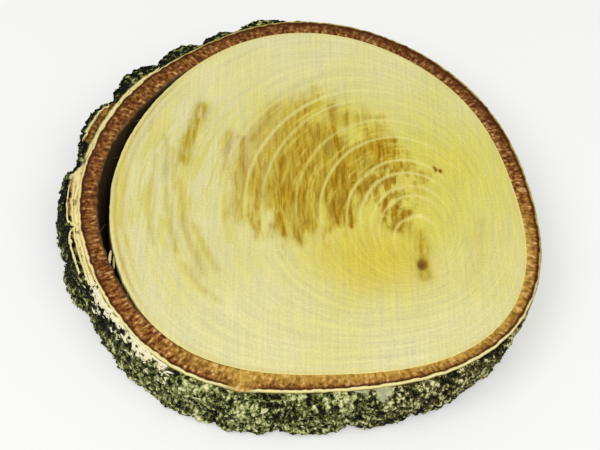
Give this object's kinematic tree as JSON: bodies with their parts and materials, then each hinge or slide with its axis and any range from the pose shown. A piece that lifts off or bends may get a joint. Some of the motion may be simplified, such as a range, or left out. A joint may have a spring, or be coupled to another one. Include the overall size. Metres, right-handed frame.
{
  "type": "wood slice",
  "caption": "Thin slice sawn across a small birch trunk: cream wood with a stained heart, a ring of rough bark, and a drying crack between the two.",
  "frame": {"origin": "middle of the slice's bounding box, on the sawn underside", "axes": "+Z out of the sawn top face, across the slice's thickness; the crack is on the -X side"},
  "size_m": [0.1116, 0.1152, 0.015],
  "materials": {
    "sawn_wood": "sawn across the grain, unsealed, matt",
    "inner_bark": "sawn inner bark, granular, matt",
    "outer_bark": "rough bark with lichen and peeling papery skin"
  },
  "bodies": {
    "root": {"wood_slice": "sawn_wood"}
  },
  "joints": []
}
